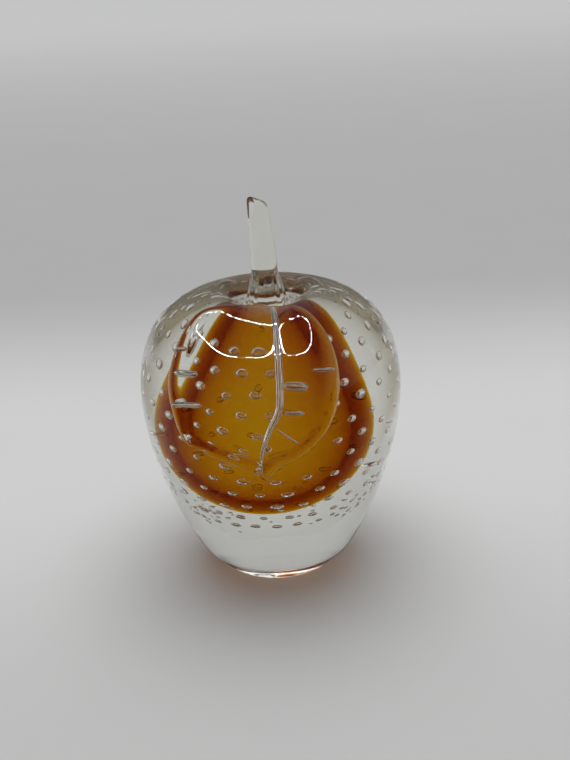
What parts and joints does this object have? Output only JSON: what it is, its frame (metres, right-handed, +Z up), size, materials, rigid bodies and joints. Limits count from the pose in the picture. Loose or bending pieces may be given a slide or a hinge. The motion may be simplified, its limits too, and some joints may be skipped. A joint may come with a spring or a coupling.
{
  "type": "glass fruit paperweight",
  "caption": "Solid glass fruit paperweight with an amber core, rows of trapped bubbles, an applied clear leaf and a clear stem, standing on a flat base.",
  "frame": {"origin": "middle of the flat base that the fruit stands on", "axes": "+Z up the fruit's axis to the stem, -Y towards the leaf on the front, +X to the right seen from the front"},
  "size_m": [0.09, 0.0936, 0.1325],
  "materials": {
    "clear_glass": "clear, fire polished",
    "amber_glass": "transparent amber, fused inside clear glass"
  },
  "bodies": {
    "root": {"heart": "clear_glass", "amber_overlay": "amber_glass", "inner_casing": "clear_glass", "outer_casing": "clear_glass", "leaf": "clear_glass", "stem": "clear_glass"}
  },
  "joints": []
}
